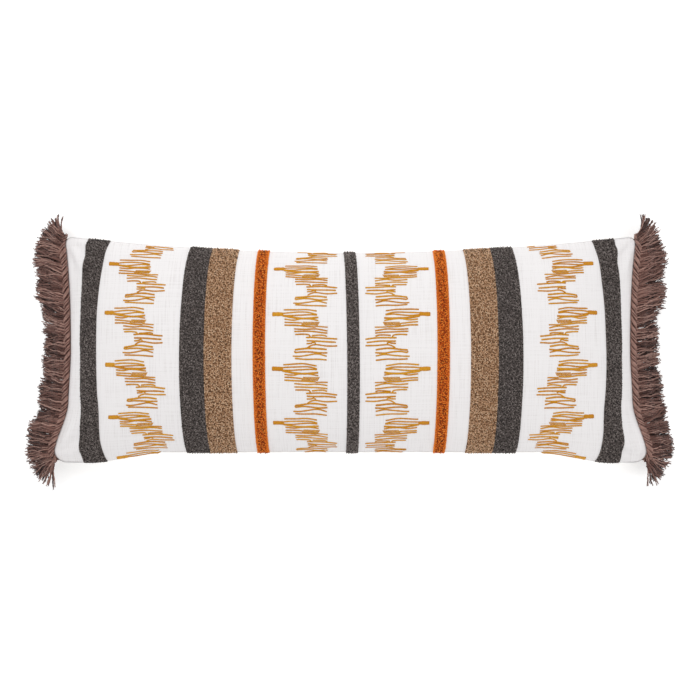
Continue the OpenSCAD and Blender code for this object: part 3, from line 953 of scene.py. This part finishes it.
def add_braid(side, word, material, seed):
    """The heading: three bundles of five yarns, laid round each other over a core like a flat rope. The
    core is painted at the darkest tone, as painted shade between the bundles.
    """
    rng = np.random.default_rng(seed)
    shape = Shape()
    bundles, yarns = 3, 5
    pitch, half_w, half_h = 33 * MM, 3.4 * MM, 3.0 * MM
    y = np.linspace(7 * MM - BRAID_HALF, BRAID_HALF - 4 * MM, 260)
    middle = braid_x(y)
    slope = np.gradient(middle, y)
    norm = np.hypot(1, slope)
    lay = math.tau * half_w / pitch
    turn = (y + BRAID_HALF) / (9 * MM) * math.pi
    for bundle in range(bundles):
        phase = math.tau * (y / pitch + bundle / bundles) + 0.4 * np.sin(y / (19 * MM) + side)
        loose = 1 + 0.1 * np.sin(y / (17 * MM) + rng.uniform(0, math.tau))
        for yarn in range(yarns):
            # Where the yarn is in its bundle, and so across the heading, above it and ahead
            angle = math.radians(-80 + 160 * yarn / (yarns - 1))
            out, beside = 1.9 * MM * math.cos(angle) * loose, 2.1 * MM * math.sin(angle) * loose
            beside = beside / math.hypot(1, lay)
            wobble = 0.12 * MM * np.sin(y / (5 * MM) + rng.uniform(0, math.tau))
            across = (half_w + out) * np.cos(phase) - beside * np.sin(phase) + wobble
            rise = (half_h + out) * np.sin(phase) + beside * np.cos(phase)
            along = y - beside * lay - across * slope / norm
            path = np.stack([side * (middle + across / norm), along, SEAM_Z + rise], -1)
            tone = (1.1 if yarn % 2 else 0.7) + rng.uniform(-0.25, 0.2)
            tubes(shape, path[None], BRAID_YARN_R, 6, UP, turn=turn[None], lobe=YARN_LOBE, tone=tone)
    # Painted shade: the core has tone 0, the darkest yarn colour, and shows in the gaps between the
    # bundles.
    core = np.stack([side * middle, y, SEAM_Z + 0 * y], -1)
    tubes(shape, core[None], half_w, 8, UP, flat=0.8, tone=0.0)
    shape.piece(f"fringe_braid_{word}_rope", material, "fringe_yarn", [f"fringe_braid_{word}"])


def yarn_length(y):
    """The skirt is longest at its quarters, and shortest in the middle and at the corners."""
    quarter = np.where(y > 0, 11, 4) * smooth((np.abs(y) - 38 * MM) / (40 * MM))
    upper = 16 * smooth((y - 125 * MM) / (60 * MM))
    lower = 5 * smooth((-y - 125 * MM) / (30 * MM))
    return (47 + quarter - upper - lower) * MM


def yarn_headings(y, across, layer, clump, rng):
    """Each yarn's direction in plan, step by step, as an angle from straight out, and how much it
    belongs to the upper and the lower tuft. The upper layer is drawn together into clumps."""
    drawn = smooth((layer - 0.35) / 0.4)
    up_fan = smooth((y / BRAID_HALF - 0.8) / 0.25)
    down_fan = smooth((-y / BRAID_HALF - 0.86) / 0.16)
    fan = np.maximum(up_fan, down_fan)
    n = len(y)
    lean = 11 + 9 * y / BRAID_HALF + drawn * rng.normal(0, 4, CLUMPS)[clump]
    gather = -16 * across * drawn
    turn = 56 * up_fan - 70 * down_fan + (lean + gather) * (1 - fan)
    turn = turn + rng.normal(0, 6, n) * (1 + 0.6 * fan + 0.9 * down_fan)
    bend = drawn * rng.normal(-4, 12, CLUMPS)[clump] * (1 - fan) + 10 * down_fan + 14 * up_fan
    bend = bend + rng.normal(0, 11, n)
    heading = np.radians(turn)[:, None] + np.radians(bend)[:, None] * (ALONG_YARN - 0.3)
    return heading, up_fan, down_fan


def yarn_heights(layer, fan, rng):
    """Height of each yarn at each step: over the heading's edge in a small hump, and then down."""
    r = ALONG_YARN
    drop = (31 - 15 * layer + rng.normal(0, 1.5, len(layer))) * MM
    hump = (1 + 3 * layer) * MM
    z0 = SEAM_Z + (layer - 0.65) * 9 * MM + 5 * fan * layer * MM
    return z0[:, None] - drop[:, None] * r**1.8 + hump[:, None] * np.sin(math.pi * np.minimum(r * 1.8, 1))


def add_fringe(side, word, material, seed):
    """Loose plied yarns in clumps that leave the heading, lean and droop, and fray at their tips.
    The lowest of them lie between the clumps. The lower a yarn lies the darker it is painted: painted shade
    on the lower yarns, painted light on the upper ones."""
    rng = np.random.default_rng(seed)
    clump = np.repeat(np.arange(CLUMPS), YARNS_PER_CLUMP)
    n = len(clump)
    across = rng.uniform(-0.5, 0.5, n)
    layer = rng.uniform(0, 1, n)
    share = (clump + 0.5 + across) / CLUMPS * 2 - 1
    y0 = (BRAID_HALF - 2 * MM) * (1.16 * share - 0.16 * share**3)

    # The way that each yarn runs in plan, step by step
    heading, up_fan, down_fan = yarn_headings(y0, across, layer, clump, rng)
    fan = np.maximum(up_fan, down_fan)
    ragged = rng.uniform(0.9, 1.02, CLUMPS)[clump] * rng.uniform(0.86, 1.02, n)
    length = yarn_length(y0) * ragged
    step = length[:, None] / (len(ALONG_YARN) - 1)
    outwards = running_sum(np.cos(heading[:, 1:]) * step)
    sideways = running_sum(np.sin(heading[:, 1:]) * step)

    z = yarn_heights(layer, fan, rng)
    r = ALONG_YARN
    waves, phase = rng.uniform(5, 13, (n, 1)), rng.uniform(0, math.tau, (n, 1))
    wave = 1.2 * MM * np.sin(r * waves + phase) * np.minimum(3 * r, 1)
    root = (1 + 1.6 * (1 - layer) - 5 * fan * layer) * MM
    spread = (5 * down_fan - 4 * up_fan) * rng.uniform(0, 2, n) * MM
    x = (braid_x(y0) + root)[:, None] + outwards
    y = (y0 + spread)[:, None] + sideways + wave
    paths = np.stack([side * x, y, z + 0.4 * wave], -1)

    # Thickness, twist and tone, and the two pieces
    mean = unit(paths[:, -1] - paths[:, 0])
    up = unit(np.cross(mean, np.cross(UP, mean)))
    turning = phase + r * (length[:, None] / (17 * MM)) * math.tau
    radius = YARN_R * rng.uniform(0.88, 1.12, (n, 1)) * (1 - 0.25 * smooth((r - 0.85) / 0.15))
    # Painted light and shade: tone rises with layer, so the upper yarns come out lighter and the lower ones
    # darker, with some random spread.
    tone = np.clip(0.65 * layer + rng.normal(0, 0.3, n), 0, 1)
    node = f"fringe_yarn_{word}"
    for part, chosen, replaced in (("skirt", layer < 0.5, [node]), ("overskirt", layer >= 0.5, [])):
        shape = Shape()
        tubes(shape, paths[chosen], radius[chosen], 6, up[chosen][:, None], turn=turning[chosen],
              lobe=YARN_LOBE, tone=tone[chosen])
        add_frayed_tips(shape, paths[chosen], tone[chosen], rng)
        shape.piece(f"{node}_{part}", material, "fringe_yarn", replaced)


def add_frayed_tips(shape, paths, tone, rng):
    """Two loose hairs at the end of each yarn."""
    hairs, steps = 2, 3
    base = np.repeat(paths[:, -2], hairs, 0)
    ahead = np.repeat(unit(paths[:, -1] - paths[:, -3]), hairs, 0)
    n = len(base)
    stray = rng.normal(0, 0.25, (n, 3))
    r = np.linspace(0, 1, steps)[:, None]
    long = rng.uniform(3.5, 5.5, (n, 1, 1)) * MM
    hair = base[:, None] + long * (ahead[:, None] * r + stray[:, None] * r**1.6)
    radius = np.linspace(0.45, 0.15, steps) * MM
    tubes(shape, hair, radius, 3, (0.3, 0.2, 0.93), tone=np.repeat(tone, hairs))


# ---- inside the cover

def nested(points, side, inset, drop):
    """A layer inside the cover: the panel's own points, drawn in by inset and lowered by drop."""
    crown = CROWN if side > 0 else SEAM_Z
    layer = points * [1 - inset / HALF_LENGTH, 1 - inset / HALF_WIDTH_BOTTOM, 1]
    layer[..., 2] = SEAM_Z + (points[..., 2] - SEAM_Z) * (crown - drop) / crown
    return layer


def add_insert():
    """The insert's casing of two panels, and the fibre that fills it."""
    casing_cloth = soft_fibre("insert_casing", (246, 246, 244), (232, 232, 229), 900, 0.1 * MM)
    fibre = soft_fibre("fibre", (250, 250, 250), (226, 226, 226), 160, 1.5 * MM)
    u, v = flat_grid(GRID_U // 2 + 1, GRID_V // 2 + 1)
    inset, drop, casing = 13 * MM, 2.4 * MM, 0.7 * MM
    fills = []
    for name, panel, side in (("insert_front", front, 1), ("insert_back", back, -1)):
        points = kept_off(panel.at(u, v), side, 0.4 * MM)
        outer, inner, fill = (nested(points, side, inset + k * casing, drop + k * casing) for k in range(3))
        fills.append(fill)
        shape = Shape()
        shape.shell(outer, inner, flip=side < 0)
        piece = shape.piece(f"{name}_casing", casing_cloth, "insert_casing", [name])
    shape = Shape()
    shape.shell(*fills)
    shape.piece("fibre_fill_stuffing", fibre, "fibre", ["fibre_fill"])


# ---- zip and trims

def add_ribbon(name, middle, across, material, slot):
    """A woven tape: a thin closed strip. middle is a grid of points, along the tape and then over its
    width, and across is the direction of its thickness."""
    offset = np.array(across) * 0.25 * MM
    shape = Shape()
    shape.shell(middle + offset, middle - offset)
    shape.piece(f"{name}_webbing", material, slot, [name])


def add_zip_tapes():
    """The zip's two tapes, which meet past its stops."""
    white = woven_tape("zip_tape", (232, 228, 220), (205, 200, 190), 0.9 * MM)
    past_slot = SLOT_SHUT + 2 * MM
    stops_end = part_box("zip_top_stop")[1].x + 0.8 * MM
    for name, side in (("zip_tape_upper", 1), ("zip_tape_lower", -1)):
        low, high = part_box(name)
        inner, outer = (low.z, high.z) if side > 0 else (high.z, low.z)
        x, w = grid(np.linspace(-past_slot, past_slot, 400), np.linspace(0, 1, 9))
        meet = smooth((np.abs(x) - stops_end) / (6 * MM))
        edge = inner + (SEAM_Z + side * 0.1 * MM - inner) * meet
        ribs = 0.12 * MM * np.cos(w * 3 * math.tau)
        y = (low.y + high.y) / 2 + 0.15 * MM * np.sin(x / (21 * MM)) + ribs
        middle = np.stack([x, y, edge + (outer - edge) * w], -1)
        add_ribbon(name, middle, (0, -side, 0), white, "zip_tape")


def add_fringe_tapes():
    """The tape that carries each fringe, sewn between the panels."""
    brown = woven_tape("fringe_tape", (126, 98, 88), (90, 66, 58), 1.1 * MM, axes=(0, 1))
    for side, word in SIDES:
        name = f"fringe_tape_{word}"
        low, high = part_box(name)
        y, inward = grid(np.linspace(low.y, high.y, 200), np.linspace(0, TAPE_IN, 7))
        seam = braid_x(y) - BRAID_W / 2 + BRAID_IN
        middle = np.stack([side * (seam + 0.2 * MM - inward), y, SEAM_Z + 0 * y], -1)
        add_ribbon(name, middle, (0, 0, side), brown, "fringe_yarn")


def add_coils(material):
    """Both nylon coils of the zip as real windings."""
    wire = 0.34 * MM
    pitch = 1.5 * MM
    for name in ("zip_coil_upper", "zip_coil_lower"):
        low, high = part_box(name)
        radius = (high.z - low.z) / 2 - wire
        middle = (low + high) / 2
        length = high.x - low.x - 2 * wire
        steps = int(length / pitch * 8)
        a = np.arange(steps + 1) / 8 * math.tau
        x = low.x + wire + np.linspace(0, length, steps + 1)
        path = np.stack([x, middle.y + radius * np.cos(a), middle.z + radius * np.sin(a)], -1)
        shape = Shape()
        tubes(shape, path[None], wire, 5, (1, 0, 0), tone=0.5)
        shape.piece(f"{name}_winding", material, "zip_nylon", [name])


def add_topstitch(material):
    """A row of stitches beside each edge of the zip's slot."""
    shape = Shape()
    rng = np.random.default_rng(41)
    starts = np.arange(-SLOT_END + 4 * MM, SLOT_END - 6 * MM, 3.6 * MM)
    k = np.linspace(0, 1, 6)
    for surface in (on_front, on_back):
        u = starts[:, None] * 1.01 + 2.9 * MM * k
        v = -CUT_W + 2.6 * MM + rng.normal(0, 0.08, (len(starts), 1)) * MM + 0 * k
        paths = surface(u, v, 0.22 * MM * np.sin(math.pi * k) + 0.02 * MM)
        tubes(shape, paths, 0.24 * MM, 5, (0, 0.6, 0.8), tone=0.5)
    shape.piece("zip_topstitch", material, "cover_cloth")


def dress_cad_parts():
    """Materials for the CAD parts that stay, and a small bevel on the metal ones."""
    label = woven_tape("label_satin", (250, 250, 250), (232, 232, 234), 0.5 * MM, axes=(0, 1))
    metal = brushed_metal("zip_metal", (205, 206, 208), (160, 162, 166))
    metal_parts = ("zip_slider", "zip_pull", "zip_top_stop", "zip_bottom_stop")
    for name in ("care_label", *metal_parts):
        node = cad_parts[name]
        node.data.materials.clear()
        node.data.materials.append(metal if name in metal_parts else label)
        if name in metal_parts:
            set_all(node.modifiers.new("edges", "BEVEL"), width=0.12 * MM, segments=2,
                    limit_method="ANGLE", angle_limit=math.radians(40))


# ---- everything

white_cotton = slub_cotton("front_cotton", (246, 243, 243), (229, 225, 224))
plain_cotton = slub_cotton("back_cotton", (214, 208, 198), (184, 178, 166))
front_piece = add_panel("front_panel", on_front, 1, white_cotton)
back_piece = add_panel("back_panel", on_back, -1, plain_cotton)
stripes = add_stripes()
# The brown low end of the stops is painted shade on the shiny thread; the thread's own colour is the gold
# of the middle stops.
gold = satin_thread("gold_thread", [(0.0, (184, 122, 50)), (0.3, (216, 142, 38)),
                                    (0.5, (236, 154, 24)), (0.9, (253, 186, 54))])
columns = []
for name, spec in COLUMNS.items():
    for side, word in SIDES:
        columns.append(add_embroidery(name, side, word, spec, gold, 50 + len(columns)))

# The dark low end of the stops is painted shade: the lower yarns and the heading's core take it.
yarn = plied_yarn("fringe_yarn", [(0.0, (60, 36, 30)), (0.35, (106, 72, 64)), (0.65, (138, 101, 91)),
                                  (1.0, (180, 142, 130))])
for side, word in SIDES:
    add_braid(side, word, yarn, 60 + side)
    add_fringe(side, word, yarn, 70 + side)

add_insert()
add_coils(nylon("zip_coil", (226, 222, 214), (202, 197, 188)))
add_topstitch(plied_yarn("sewing_thread", [(0.0, (214, 210, 204)), (1.0, (240, 238, 234))]))
add_zip_tapes()
add_fringe_tapes()
dress_cad_parts()
